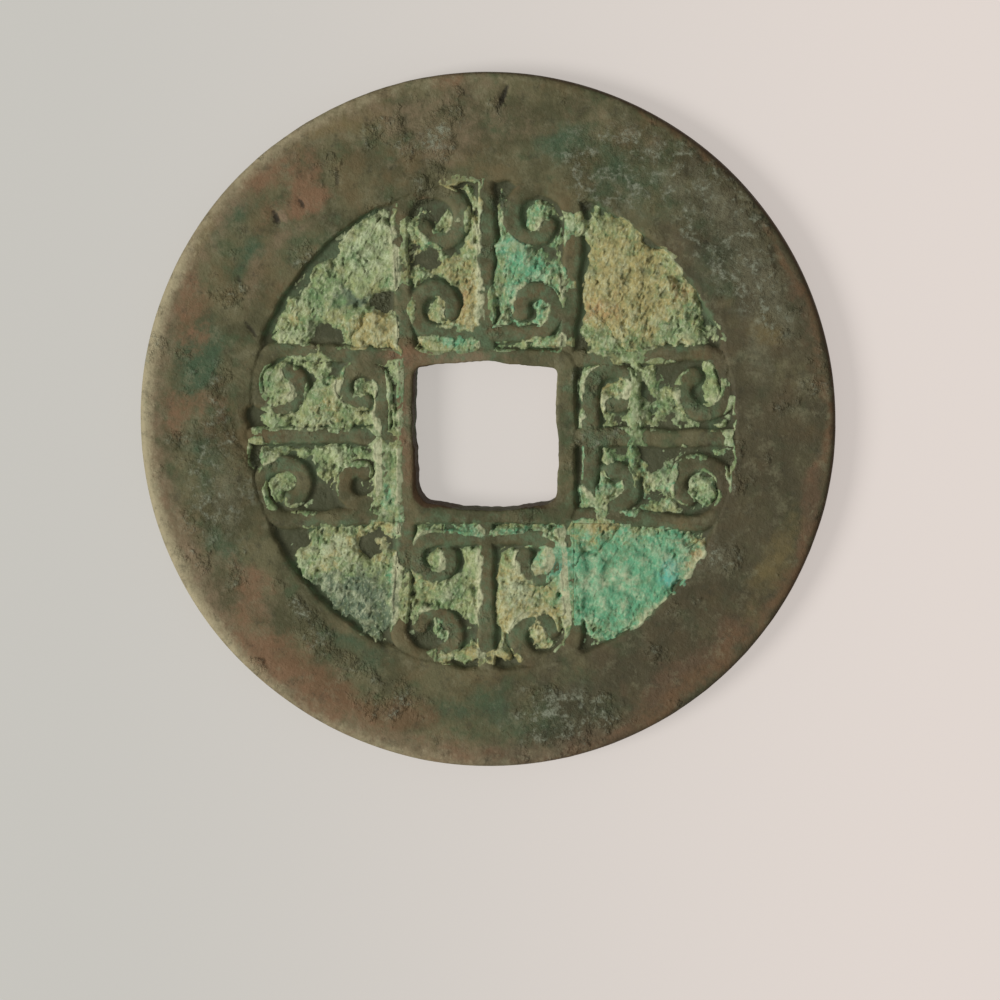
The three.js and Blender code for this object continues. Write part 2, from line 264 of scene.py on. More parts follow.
def hole_outline():
    """The filed hole as eight curves, each bent towards one control point: upper corners nearly
    sharp, lower ones round, the left one most, and every side bowed outwards."""
    (x, y), top, low, bow, side_bow = hole_half, 0.3, 0.75, 0.2, 0.03
    knots = [
        ((x, -y + low), (x + side_bow, 0)),
        ((x, y - top), (x, y)),
        ((x - top, y), (-x / 6, y + 2 * bow)),
        ((-x + top, y), (-x, y)),
        ((-x, y - top), (-x - 2 * side_bow, -y / 6)),
        ((-x, -y + 1.9 * low), (-x, -y)),
        ((-x + 1.1 * low, -y), (x / 3, -y - 2 * bow)),
        ((x - low, -y), (x, -y)),
    ]
    share = np.linspace(0, 1, 60, endpoint=False)[:, None]
    curves = []
    for (start, control), (end, _) in zip(knots, knots[1:] + knots[:1]):
        start, control, end = map(np.array, (start, control, end))
        curves.append(start * (1 - share) ** 2 + control * 2 * share * (1 - share) + end * share**2)
    return np.concatenate(curves)


around = 632
angle = np.linspace(0, 2 * np.pi, around, endpoint=False)


def ring(middle, reach):
    """The closed curve at a reach from a middle point, angle by angle."""
    return np.stack([middle[0] + reach * np.cos(angle), middle[1] + reach * np.sin(angle)], 1)


def hole_ring(shift):
    """The hole's edge, nibbled by the file, moved by a shift."""
    outline = hole_outline()
    turned = np.arctan2(outline[:, 1], outline[:, 0]) % (2 * np.pi)
    reach = np.interp(angle, turned, np.hypot(*outline.T), period=2 * np.pi)
    x, y = reach * np.cos(angle), reach * np.sin(angle)
    reach += 0.075 * rough(x, y, 1.0, 61, 2) + 0.03 * rough(x, y, 0.3, 62, 2)
    return ring(hole_middle + shift, reach)


def rectangle_ring(half, corner_round, beyond):
    """The closed curve that lies a distance beyond a rectangle with round corners, found by
    stepping out from the hole's middle by what is still missing."""
    reach, steps = np.zeros(around), 60
    for _ in range(steps):
        x, y = ring(hole_middle, reach).T
        reach += beyond - rectangle_distance(x, y, half, corner_round)
    return ring(hole_middle, reach)


def rows_between(stations):
    """Rings drawn evenly from each station to the next: a station is a ring and how many rows go
    from it to the next. Gives their x and y, with a row for each."""
    rows = []
    for (ring_a, count), (ring_b, _) in zip(stations[:-1], stations[1:]):
        for share in np.linspace(0, 1, count, endpoint=False):
            rows.append(ring_a * (1 - share) + ring_b * share)
    return np.array(rows).transpose(2, 0, 1)


def edge_section():
    """The section of the coin's edge, down from the face: a quarter round, a filed flat and a smaller
    quarter round, as (distance inside the widest place, drop below the face, 1 where filed)."""
    rows = []
    for t in np.linspace(0, np.pi / 2, 8, endpoint=False):
        rows.append((face_shoulder * (1 - np.sin(t)), face_shoulder * (1 - np.cos(t)), 0))
    for share in np.linspace(0, 1, 4, endpoint=False):
        rows.append((0, face_shoulder * (1 - share) + (coin_thickness - back_shoulder) * share, 1))
    for t in np.linspace(0, np.pi / 2, 6):
        low = coin_thickness - back_shoulder * (1 - np.sin(t))
        rows.append((back_shoulder * (1 - np.cos(t)), low, 0))
    return rows


def casting_surface():
    """The whole skin as rings: out over the face from the hole, over the edge, back in over the
    back and up the wall of the hole. Gives x, y, z with a row for each ring."""
    foot, hole_wear, play = wall_lean + wall_round, 0.035, 0.02
    middle, back_shift = np.zeros(2), np.array([0.06, 0.07])
    hole_face, hole_back = hole_ring(0), hole_ring(back_shift)
    x, y = rows_between([
        (hole_face, 7),
        (rectangle_ring(inner_half, inner_round, -wall_round), 4),
        (rectangle_ring(inner_half, inner_round, foot), 62),
        (ring(field_middle, field_radius - foot), 4),
        (ring(field_middle, field_radius + wall_round), 26),
        (ring(middle, coin_radius - face_shoulder), 1),
    ])
    x, y = gather_to_walls(x, y)
    z = face_height(x, y, pocket_edges(x, y))
    z[0] -= hole_wear
    swell = z[-1] - coin_thickness
    out_of_round = play * rough(coin_radius * np.cos(angle), coin_radius * np.sin(angle), 6.0, 71, 2)
    for inset, drop, filed in edge_section():
        reach = coin_radius - inset + out_of_round - play
        reach = reach + 0.006 * filed * rough(25 * angle, np.full(around, drop * 4), 1.0, 72)
        edge_x, edge_y = ring(middle, reach).T
        x, y = np.vstack([x, edge_x]), np.vstack([y, edge_y])
        z = np.vstack([z, coin_thickness - drop + (1 - drop / coin_thickness) * swell])
    back_x, back_y = rows_between([
        (ring(middle, coin_radius - back_shoulder - 0.5), 8),
        (ring(back_field_middle, back_field_radius), 4),
        (ring(back_field_middle, back_field_radius - foot), 12),
        (rectangle_ring(back_inner_half, inner_round, foot), 3),
        (rectangle_ring(back_inner_half, inner_round, -wall_round), 4),
        (hole_back, 1),
    ])
    back_z = back_height(back_x, back_y)
    wall_x, wall_y = rows_between([(hole_back, 6), (hole_face, 1)])
    wall_z = np.linspace(0.05, coin_thickness - 0.12, 6)[:, None] * np.ones(around)
    return np.vstack([x, back_x, wall_x]), np.vstack([y, back_y, wall_y]), np.vstack([z, back_z, wall_z])


def gather_to_walls(x, y):
    """The same rings with their points drawn towards the nearest wall of the relief, so that it
    is cut cleanly: a distance d within a reach h becomes h (d / h) to the power 1.5."""
    reach, step = 0.2, 0.004
    middle_of_wall = lambda px, py: np.min(pocket_edges(px, py), axis=0) - wall_lean / 2
    d = middle_of_wall(x, y)
    slope_x = (middle_of_wall(x + step, y) - d) / step
    slope_y = (middle_of_wall(x, y + step) - d) / step
    size = np.clip(np.abs(d) / reach, 0, 1)
    move = np.sign(d) * reach * (size**1.5 - size)
    in_field = ease(np.min(pocket_edges(x, y)[1:], axis=0) / 0.3)
    return x + slope_x * move * in_field, y + slope_y * move * in_field


def back_height(x, y):
    """The height of the back: a plain sunk field between a rim and an inner rim, worn and pitted."""
    outer = back_field_radius - np.hypot(x - back_field_middle[0], y - back_field_middle[1])
    inner = rectangle_distance(x, y, back_inner_half, inner_round)
    wander = 0.04 * rough(x, y, 1.5, 81)
    raised = np.maximum(standing(outer + wander), standing(inner + wander))
    worn = 0.012 * (1 + rough(x, y, 2.4, 82)) + 0.02 * np.maximum(rough(x, y, 0.8, 83), 0) * (1 - raised)
    return back_field_depth * (1 - raised) + worn / 2


def piece(name, points, quads, smooth=None):
    """A mesh object from points in millimetres and faces of four corners."""
    mesh = bpy.data.meshes.new(name)
    mesh.vertices.add(len(points))
    mesh.vertices.foreach_set("co", (points * MM).astype(np.float32).ravel())
    mesh.loops.add(quads.size)
    mesh.loops.foreach_set("vertex_index", quads.astype(np.int32).ravel())
    mesh.polygons.add(len(quads))
    mesh.polygons.foreach_set("loop_start", np.arange(0, quads.size, 4, dtype=np.int32))
    smooth = np.ones(len(quads), bool) if smooth is None else smooth
    mesh.polygons.foreach_set("use_smooth", smooth)
    mesh.update(calc_edges=True)
    made = bpy.data.objects.new(name, mesh)
    bpy.context.scene.collection.objects.link(made)
    return made


def tint(made, name, values):
    """A value at each point of a piece, for its material to read."""
    attribute = made.data.attributes.new(name, "FLOAT", "POINT")
    attribute.data.foreach_set("value", np.ascontiguousarray(values, np.float32).ravel())


surface = np.stack(casting_surface(), 2)
ring_count = len(surface)
row, column = np.meshgrid(np.arange(ring_count), np.arange(around), indexing="ij")
corner_at = lambda down, along: ((row + down) % ring_count) * around + (column + along) % around
skin = np.stack([corner_at(0, 0), corner_at(1, 0), corner_at(1, 1), corner_at(0, 1)], 2)
casting = piece("casting", surface.reshape(-1, 3), skin.reshape(-1, 4))
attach(casting, "root")
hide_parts("cast_coin")


def look(name, roughness, gloss):
    """A new material, its nodes and its shader."""
    made = bpy.data.materials.new(name)
    made.use_nodes = True
    shader = made.node_tree.nodes["Principled BSDF"]
    shader.inputs["Roughness"].default_value = roughness
    shader.inputs["Specular IOR Level"].default_value = gloss
    return made, made.node_tree, shader


def node(tree, kind, settings, inputs):
    """A node with its settings, and inputs given as numbers, colours or the outputs of others."""
    made = tree.nodes.new(kind)
    for name, value in settings.items():
        setattr(made, name, value)
    for name, value in inputs.items():
        if isinstance(value, bpy.types.NodeSocket):
            tree.links.new(value, made.inputs[name])
        else:
            made.inputs[name].default_value = value
    return made


def cloud(tree, size, seed, detail=6.0, stretch=(1, 1, 1), roughness=0.6):
    """Noise from 0 to 1 on the object's own coordinates, with blotches of a size in millimetres."""
    coordinates = node(tree, "ShaderNodeTexCoord", {}, {}).outputs["Object"]
    inputs = {"Vector": coordinates, "Scale": stretch, "Location": (seed, 0.7 * seed, 0)}
    placed = node(tree, "ShaderNodeMapping", {}, inputs).outputs[0]
    inputs = {"Vector": placed, "Scale": 1 / (size * MM), "Detail": detail, "Roughness": roughness}
    return node(tree, "ShaderNodeTexNoise", {}, inputs).outputs["Fac"]


def between(tree, value, low, high):
    """0 where a value is at or below the low mark and 1 at or above the high one."""
    inputs = {"Value": value, "From Min": low, "From Max": high}
    return node(tree, "ShaderNodeMapRange", {"interpolation_type": "SMOOTHSTEP"}, inputs).outputs[0]


def blotches(tree, size, seed, low, high, detail=6.0, stretch=(1, 1, 1), roughness=0.6):
    """The same noise, cut to blotches between a low and a high mark."""
    return between(tree, cloud(tree, size, seed, detail, stretch, roughness), low, high)


def reckon(tree, operation, a, b):
    """The sum, product or other reckoning of two values."""
    return node(tree, "ShaderNodeMath", {"operation": operation}, {0: a, 1: b}).outputs[0]


def blend(tree, share, under, over):
    """One colour laid over another by a share."""
    made = node(tree, "ShaderNodeMix", {"data_type": "RGBA"}, {"Factor": share})
    for index, colour in ((6, under), (7, over)):
        if isinstance(colour, bpy.types.NodeSocket):
            tree.links.new(colour, made.inputs[index])
        else:
            made.inputs[index].default_value = (*colour, 1)
    return made.outputs[2]


def overlaid(tree, colour, overlays):
    """A colour with others laid over it in turn: each by the share that places it, how much of it
    shows at most, and its colour."""
    for share, most, over in overlays:
        colour = blend(tree, reckon(tree, "MULTIPLY", share, most), colour, over)
    return colour


def reading(tree, name):
    """A value that the piece holds at each of its points."""
    return node(tree, "ShaderNodeAttribute", {"attribute_name": name}, {}).outputs["Fac"]


def broken(tree, name, size, low, high, spread=2.2):
    """A held value that fades out in blotches of a size and of all smaller sizes."""
    blotch = reckon(tree, "SUBTRACT", cloud(tree, size, len(name) + size, 8.0, roughness=0.7), 0.5)
    mixed = reckon(tree, "MULTIPLY_ADD", blotch, spread)
    tree.links.new(reading(tree, name), mixed.node.inputs[2])
    return between(tree, mixed, low, high)


def bells(x, y, places):
    """The sum of bell-shaped mounds, each by its middle, half width, half height and amount."""
    total = np.zeros(x.shape)
    for middle_x, middle_y, half_width, half_height, amount in places:
        across, along = (x - middle_x) / half_width, (y - middle_y) / half_height
        total += amount * np.exp(-(across**2) - along**2)
    return total


def rim_bells(x, y, places):
    """The same with the places given around the coin: angle in degrees, distance from the middle,
    half length around and half width across."""
    x, y = x + 0.5 * rough(x, y, 2.1, 91), y + 0.5 * rough(x, y, 2.1, 95)
    total = np.zeros(x.shape)
    for degrees, distance, half_length, half_width in places:
        turned = np.radians(degrees)
        out = x * np.cos(turned) + y * np.sin(turned) - distance
        aside = y * np.cos(turned) - x * np.sin(turned)
        total += bells(aside, out, [(0, 0, half_length, half_width, 1)])
    return total


def marks(tree, strokes):
    """1 along straight strokes, each by both its ends and its half width, and 0 off them."""
    coordinates = node(tree, "ShaderNodeTexCoord", {}, {}).outputs["Object"]
    ragged = reckon(tree, "MULTIPLY", reckon(tree, "SUBTRACT", cloud(tree, 0.16, 35, 3), 0.5), 1.6)
    full_depth = 0.12
    total = 0.0
    for x0, y0, x1, y1, half_width, deep in strokes:
        middle, run = np.array([x0 + x1, y0 + y1]) / 2, np.array([x1 - x0, y1 - y0])
        reach = np.array([np.hypot(*run) / 2 + half_width, 1.4 * half_width]) * MM
        settings = {"vector_type": "TEXTURE"}
        inputs = {
            "Vector": coordinates,
            "Location": (*middle * MM, coin_thickness * MM),
            "Rotation": (0, 0, np.arctan2(run[1], run[0])),
            "Scale": (*reach, coin_thickness * MM / 2),
        }
        placed = node(tree, "ShaderNodeMapping", settings, inputs).outputs[0]
        away = node(tree, "ShaderNodeVectorMath", {"operation": "LENGTH"}, {0: placed}).outputs["Value"]
        away = reckon(tree, "ADD", away, ragged)
        hollow = reckon(tree, "MULTIPLY", between(tree, away, 1.3, 0.4), min(1, deep / full_depth))
        total = reckon(tree, "ADD", hollow, total)
    return total


# Patches of colour on the rims: angle around the coin in degrees, distance from the middle, half
# length around and half width across.
rim_patches = {
    "red": [
        (128, 11.8, 1.3, 0.9), (131, 12.9, 1.2, 0.4), (155, 12.8, 1.6, 0.5), (162, 12.2, 1.6, 0.6),
        (187, 12.9, 1.9, 0.35), (215, 11.7, 1.2, 0.7), (230, 12.0, 2.4, 0.9), (244, 12.5, 2.2, 0.7),
        (319, 12.7, 1.8, 0.6), (306, 12.3, 1.6, 0.8), (346, 12.9, 1.8, 0.35), (292, 13.2, 3.0, 0.35),
        (96, 13.2, 1.0, 0.35), (175, 10.7, 0.8, 0.9), (178, 11.9, 1.0, 0.6), (268, 13.1, 2.5, 0.4),
        (187, 3.1, 2.6, 0.5), (140, 3.9, 0.8, 0.8), (318, 12.5, 1.3, 0.6), (304, 12.5, 1.2, 0.5),
        (347, 13.0, 1.5, 0.4), (130, 11.4, 0.8, 0.5), (228, 12.6, 1.5, 0.5), (0, 13.2, 1.6, 0.35),
        (22, 13.1, 1.8, 0.35), (285, 13.1, 2.0, 0.35), (335, 13.2, 1.6, 0.3),
    ],
    "ochre": [
        (336, 12.3, 2.0, 0.8), (118, 12.7, 2.2, 0.6), (18, 11.3, 1.2, 1.0), (146, 12.9, 1.0, 0.3),
    ],
    "verdigris": [
        (169, 11.6, 1.5, 0.8), (144, 11.0, 1.4, 0.7), (186, 11.0, 1.4, 0.8), (238, 10.3, 1.6, 0.5),
        (165, 12.1, 1.0, 0.6), (284, 11.4, 3.2, 1.3), (59, 10.9, 2.8, 1.2), (36, 11.0, 1.8, 1.4),
        (76, 11.3, 1.2, 0.6), (206, 11.4, 1.2, 0.6), (140, 12.5, 1.2, 0.4), (268, 11.3, 1.2, 0.7),
        (166, 11.4, 1.2, 0.6),
    ],
    "specks": [
        (62, 10.9, 3.0, 1.3), (28, 11.8, 2.6, 1.0), (196, 10.8, 2.0, 1.3), (284, 11.4, 2.0, 0.9),
        (102, 11.6, 1.2, 0.5), (182, 10.4, 1.4, 0.6), (50, 12.0, 2.2, 1.0), (48, 11.6, 2.8, 0.9),
        (38, 11.2, 1.6, 0.9), (330, 10.4, 1.0, 0.6),
    ],
    "ruddy": [
        (333, 13.2, 2.4, 0.35), (0, 13.1, 2.6, 0.35), (25, 13.2, 2.6, 0.25), (55, 13.2, 3.2, 0.22),
        (305, 13.0, 2.2, 0.5), (318, 12.8, 1.6, 0.6), (256, 11.3, 1.8, 0.7), (250, 12.1, 2.6, 0.6),
        (232, 11.9, 2.4, 0.6),
    ],
    "chalked": [
        (197, 10.6, 1.6, 0.9), (43, 12.5, 2.2, 0.5), (30, 11.6, 2.0, 0.8), (14, 10.7, 1.2, 0.5),
        (330, 10.6, 1.0, 0.6), (50, 11.4, 1.6, 0.6), (22, 12.3, 1.6, 0.4),
    ],
}

# Where hands have worn the brown off, in the same way.
worn_patches = [
    (92, 11.6, 4.5, 1.4), (62, 12.4, 3.0, 0.7), (100, 11.0, 2.5, 0.8), (38, 12.6, 1.8, 0.5),
    (105, 12.5, 1.8, 0.6), (203, 12.4, 2.0, 0.6), (218, 11.5, 1.8, 0.7), (142, 10.4, 1.8, 0.6),
    (15, 11.5, 1.2, 0.6), (92, 12.9, 1.6, 0.4), (180, 10.5, 1.2, 0.5), (212, 11.5, 1.6, 0.6),
    (285, 12.7, 2.2, 0.4), (150, 10.4, 1.2, 0.5), (134, 10.5, 1.4, 0.6),
]

metal_x, metal_y, metal_height = surface.reshape(-1, 3).T
facing_up = metal_height > coin_thickness / 2
sunk_depth = np.where(facing_up, coin_thickness - metal_height, metal_height)
radius_at = np.hypot(metal_x, metal_y)
on_edge = ease((radius_at - coin_radius + 0.85) / 0.7)
left_side = ease(0.62 - (0.94 * metal_x + 0.34 * metal_y) / 20)
from_hole = rectangle_distance(metal_x, metal_y, hole_half, hole_corner)
for name, patches in rim_patches.items():
    tint(casting, name, rim_bells(metal_x, metal_y, patches))
tint(casting, "sunk", ease(sunk_depth / field_depth) * (radius_at < coin_radius - 0.4) * (from_hole > 0.3))
# Partly wear and partly painted highlight: pale on the rounded edge on the coin's left, the side that faces
# the lamp, and on the hole's edge away from the filed bevel.
rub_and_lit_side = np.clip(0.31 - (0.62 * metal_x + 0.05 * metal_y) / coin_radius, 0, 1)
rub_and_lit_side -= 0.28 * rim_bells(metal_x, metal_y, [(142, 13.3, 2.6, 0.8), (235, 13.3, 3.2, 0.8)])
tint(casting, "rubbed", on_edge * rub_and_lit_side + 0.8 * ease(1 - from_hole / 0.1) * (1 - left_side))
# Painted shade: dark on the coin's edge away from the lamp and on the hole's filed bevel, which faces away
# from it.
hole_bevel = ease(1.3 - from_hole / 0.09) * filed_side(metal_x, metal_y)
tint(casting, "grimy", 0.8 * ease((radius_at - coin_radius + 0.17) / 0.13) * (1 - left_side) + hole_bevel)
handled = ease((radius_at - coin_radius + 1.6) / 1.1) * ease(left_side * 1.6 - 0.6)
handled += 0.5 * rim_bells(metal_x, metal_y, worn_patches)
handled += bells(metal_x, metal_y, [(-1.0, 2.5, 2.2, 0.4, 1.2), (-3.1, -0.6, 0.35, 2.4, 0.9)])
tint(casting, "handled", handled)
# Painted shade: the brass darker towards the coin's right and outwards over its rim, the side away from the
# lamp.
tint(casting, "dusky", ease((metal_x - 0.3 * metal_y + 2) / 11) * ease((radius_at - 7) / 3))
tint(casting, "stroke_top", standing(pocket_edges(metal_x, metal_y)[0]) * facing_up)

# The brass: brown and olive in blotches, with the patches, painted shade towards the right, the
# rubbed edge partly painted as a highlight on the lamp's side, painted shade on the far edge,
# smears, pale specks, green stain, painted shade deeper in the field, painted highlights beside
# the blows and painted shade in their grooves over them in turn.
brass, tree, shader = look("buried_brass", 0.6, 0.15)
clustered = reckon(tree, "ADD", reading(tree, "specks"), blotches(tree, 2.0, 21, 0.52, 0.75, 5))
clustered = between(tree, clustered, 0.1, 0.9)
from_curl = reckon(tree, "ABSOLUTE", reckon(tree, "SUBTRACT", cloud(tree, 0.75, 23, 3), 0.5), 0.0)
frayed = blotches(tree, 0.5, 25, 0.46, 0.64, 6, roughness=0.75)
wisp = reckon(tree, "MULTIPLY", between(tree, from_curl, 0.09, 0.0), frayed)
speck = blotches(tree, 0.4, 29, 0.54, 0.72, 8, roughness=0.8)
pale = reckon(tree, "MULTIPLY", reckon(tree, "MAXIMUM", wisp, speck), clustered)
colour = blend(tree, blotches(tree, 1.9, 3, 0.4, 0.6), (0.066, 0.063, 0.029), (0.114, 0.104, 0.051))
colour = overlaid(tree, colour, [
    (blotches(tree, 1.3, 5, 0.5, 0.66), 0.75, (0.054, 0.076, 0.034)),
    (blotches(tree, 2.4, 9, 0.5, 0.68), 0.65, (0.122, 0.088, 0.04)),
    (broken(tree, "verdigris", 0.9, 0.2, 1.5, 2.6), 1, (0.05, 0.08, 0.04)),
    (broken(tree, "handled", 0.6, 0.2, 1.5), 1, (0.18, 0.134, 0.078)),
    (broken(tree, "red", 0.7, 0.2, 1.6, 3.4), 1, (0.168, 0.1, 0.053)),
    (broken(tree, "stroke_top", 1.6, 1.3, 2.0, 3.5), 1, (0.13, 0.09, 0.046)),
    (between(tree, reading(tree, "sunk"), 0.3, 1.0), 1, (0.066, 0.066, 0.034)),
    # Painted shade towards the coin's right, away from the lamp.
    (broken(tree, "dusky", 1.5, 0.3, 1.1), 0.68, (0.05, 0.041, 0.023)),
    (broken(tree, "ochre", 0.8, 0.2, 1.4), 0.7, (0.15, 0.115, 0.046)),
    (broken(tree, "ruddy", 0.5, 0.2, 1.2), 0.75, (0.125, 0.074, 0.036)),
    (broken(tree, "chalked", 0.4, 0.2, 1.2), 0.6, (0.14, 0.132, 0.08)),
    # Partly wear, partly painted highlight on the lamp's side.
    (broken(tree, "rubbed", 0.35, 0.1, 1.0, 1.3), 1, (0.32, 0.275, 0.165)),
    # Painted shade on the edge and the bevel away from the lamp.
    (broken(tree, "grimy", 0.5, 0.1, 0.9, 1.0), 1, (0.06, 0.036, 0.017)),
    (blotches(tree, 0.7, 13, 0.5, 0.68, 8, roughness=0.75), 0.4, (0.182, 0.172, 0.1)),
    (blotches(tree, 0.6, 17, 0.52, 0.66, 8, roughness=0.75), 0.42, (0.03, 0.029, 0.017)),
    (pale, 0.9, (0.22, 0.235, 0.165)),
    (broken(tree, "stain", 0.45, 0.3, 1.3, 3.0), 1, (0.09, 0.132, 0.068)),
    # Partly darker patina in the sunk field and partly painted shade in its recesses.
    (broken(tree, "sunk", 0.7, 0.4, 1.2, 2.0), 0.5, (0.045, 0.052, 0.026)),
    # Painted highlight beside the blows.
    (marks(tree, nick_highlights), 0.55, (0.25, 0.17, 0.11)),
    # Painted shade in the grooves of the blows.
    (marks(tree, nicks), 0.9, (0.014, 0.012, 0.007)),
])
tree.links.new(colour, shader.inputs["Base Color"])
dull = reckon(tree, "ADD", reckon(tree, "MULTIPLY", cloud(tree, 0.5, 27, 4), 0.3), 0.5)
tree.links.new(dull, shader.inputs["Roughness"])
pitting = reckon(tree, "MULTIPLY", cloud(tree, 0.5, 33, 4), 2.5)
pitting = reckon(tree, "ADD", cloud(tree, 0.12, 31, 4), pitting)
eaten = reckon(tree, "MULTIPLY", cloud(tree, 0.42, 39, 5, roughness=0.7), clustered)
pitting = reckon(tree, "ADD", pitting, reckon(tree, "MULTIPLY", eaten, 9.0))
bump = node(tree, "ShaderNodeBump", {}, {"Height": pitting, "Strength": 0.7, "Distance": 0.04 * MM})
tree.links.new(bump.outputs[0], shader.inputs["Normal"])
casting.data.materials.append(brass)

# The mineral crusts: copper salts and earth that grew in the sunk field during burial, pale green,
# tan or turquoise by what lay against the metal. They are bonded to the floor and creep up its
# walls. Each lies on the metal as a skin of grains, and two minerals meet in every corner.

# Where mineral stands in the pockets of the scrolls, or is missing: x, y, half width, half height
# and amount.
growths = [
    (-1.8, 8.9, 1.6, 0.5, 0.8), (-0.9, 4.8, 1.0, 1.6, 0.7), (-1.5, 3.4, 1.3, 0.6, 0.6),
    (1.1, 6.2, 1.2, 1.4, 0.7), (2.2, 3.3, 1.3, 0.5, 0.7), (1.9, 8.2, 0.9, 0.7, 0.5),
    (-6.2, 0.2, 1.7, 1.6, 0.6), (-8.3, -2.3, 0.5, 1.7, 0.7), (-3.9, -2.0, 0.5, 1.8, 0.8),
    (-8.6, 1.6, 0.7, 1.0, 0.6), (-5.5, -3.2, 1.2, 0.5, -0.6), (-1.6, -6.2, 1.6, 1.6, 0.5),
    (-0.4, -9.2, 3.0, 0.4, 0.8), (1.7, -5.7, 1.4, 0.7, 0.8), (1.5, -7.5, 1.4, 0.9, 1.1),
    (4.3, 1.4, 0.8, 1.6, 0.7), (5.7, -0.4, 0.35, 2.4, 0.5), (4.4, -2.4, 0.6, 1.2, 0.7),
    (8.9, 1.8, 0.6, 1.3, 0.8), (9.1, -1.0, 0.5, 1.2, 0.6), (8.6, -2.8, 0.9, 0.5, 0.5),
    (6.9, -1.0, 1.2, 0.7, -0.5), (7.4, 0.7, 0.7, 0.6, 0.35), (0.6, -4.25, 3.2, 0.3, 0.75),
]

# Where it has grown right over the strokes and the inner rim.
overgrowths = [
    (-3.55, 1.6, 0.35, 1.0, 1.0), (-1.5, 2.95, 1.2, 0.35, 0.9), (3.0, 3.1, 1.4, 0.3, 0.8),
    (5.8, -0.4, 0.28, 2.6, 1.2), (9.45, -0.5, 0.24, 2.9, 1.3), (-6.5, 0.9, 2.2, 1.2, 0.6),
    (-9.0, -1.2, 0.35, 1.2, 1.3), (-8.5, -3.3, 0.35, 1.0, 1.3), (-4.2, -2.0, 0.5, 1.8, 0.8),
    (-3.4, -0.6, 0.25, 2.6, 0.9), (-4.0, -2.3, 0.5, 1.3, 0.7), (-3.6, -3.7, 0.6, 0.7, 1.0),
    (4.4, -4.0, 1.2, 0.5, 1.0), (0.6, -4.35, 3.2, 0.3, 0.5), (2.8, -5.5, 0.9, 0.6, 0.8),
    (-0.3, -9.2, 2.6, 0.3, 1.6), (-1.1, 9.3, 1.2, 0.35, 1.5), (-2.3, 7.0, 0.9, 0.7, 0.6),
    (1.0, 6.7, 0.9, 0.6, 0.6), (-1.9, -6.6, 0.7, 1.3, 0.5), (-3.3, 8.4, 0.5, 0.6, 0.6),
    (0.2, 4.6, 0.4, 1.2, 0.6), (1.5, -7.3, 0.8, 0.5, 1.0), (-8.5, 1.3, 0.4, 1.0, 0.8),
    (4.5, -3.0, 0.3, 0.8, 0.8), (7.5, 1.3, 0.4, 0.5, 0.7), (-2.9, 4.4, 0.4, 0.5, 0.8),
    (8.6, -2.9, 0.7, 0.35, 1.0), (-0.6, 7.9, 0.45, 0.6, 0.7), (-7.2, -3.4, 0.5, 0.5, 0.7),
    (-6.2, -2.0, 0.5, 0.5, 0.6), (7.2, -1.9, 0.5, 0.4, 0.8), (7.0, 2.3, 0.5, 0.4, 0.8),
    (-3.2, 7.5, 0.5, 0.45, 1.1), (-3.2, 6.0, 0.55, 0.65, 1.4), (3.4, 7.7, 0.5, 0.55, 1.4),
    (-3.2, -7.3, 0.5, 0.6, 1.2), (3.1, 5.2, 0.4, 0.6, 1.1), (3.15, -5.8, 0.6, 1.1, 1.4),
    (3.2, -7.4, 0.6, 0.9, 1.3), (-3.3, -6.2, 0.45, 0.7, 1.1), (5.2, 2.6, 0.9, 0.35, 1.0),
    (-6.6, 2.4, 0.5, 0.3, 0.9),
]

# Where the corners' crust is missing.
gaps = [
    (-6.2, 3.1, 0.7, 0.75, -1.5), (-3.75, 4.6, 0.8, 0.45, -1.4), (-3.6, 8.3, 0.35, 0.8, -0.6),
    (3.6, 3.0, 0.7, 0.3, -0.8), (8.9, 3.2, 0.6, 0.5, -0.7), (-7.8, -4.6, 0.9, 0.65, -1.4),
    (-4.3, -4.8, 0.7, 0.45, -1.1), (-3.6, -8.6, 0.5, 0.6, -0.8), (3.7, -8.8, 0.7, 0.5, -0.8),
    (6.6, 7.0, 0.5, 0.35, -0.8), (-7.3, 5.6, 0.35, 0.6, -0.6),
]

# Hollows in the crust, and where it is a smooth film: x, y, half width, half height and amount.
hollows = [
    (-5.2, 4.75, 0.75, 0.45, 0.12), (-5.2, -6.9, 1.2, 0.7, 0.1), (5.8, 7.2, 0.7, 0.4, 0.05),
    (6.2, 4.9, 0.4, 0.7, 0.06), (-5.9, 6.2, 0.4, 0.8, 0.05), (1.2, 5.0, 0.6, 0.5, 0.05),
    (6.3, -4.9, 0.5, 0.3, 0.05), (-4.4, -8.0, 0.6, 0.5, 0.06),
]
films = [
    (4.9, -6.1, 1.6, 1.3, 0.9), (6.9, -6.0, 0.8, 0.9, 0.6), (-5.2, 4.75, 0.8, 0.5, 0.9),
    (5.2, 6.4, 1.1, 0.9, 0.5),
]


def beyond_inner_rim(x, y):
    """How far a place lies beyond the inner rim's sides, across and along."""
    return np.abs(x - hole_middle[0]) - inner_half[0], np.abs(y - hole_middle[1]) - inner_half[1]


def in_corner(x, y):
    """1 in the corners of the field and 0 between them, with a soft border."""
    return ease(np.min(beyond_inner_rim(x, y), axis=0) / 0.3 + 0.5)


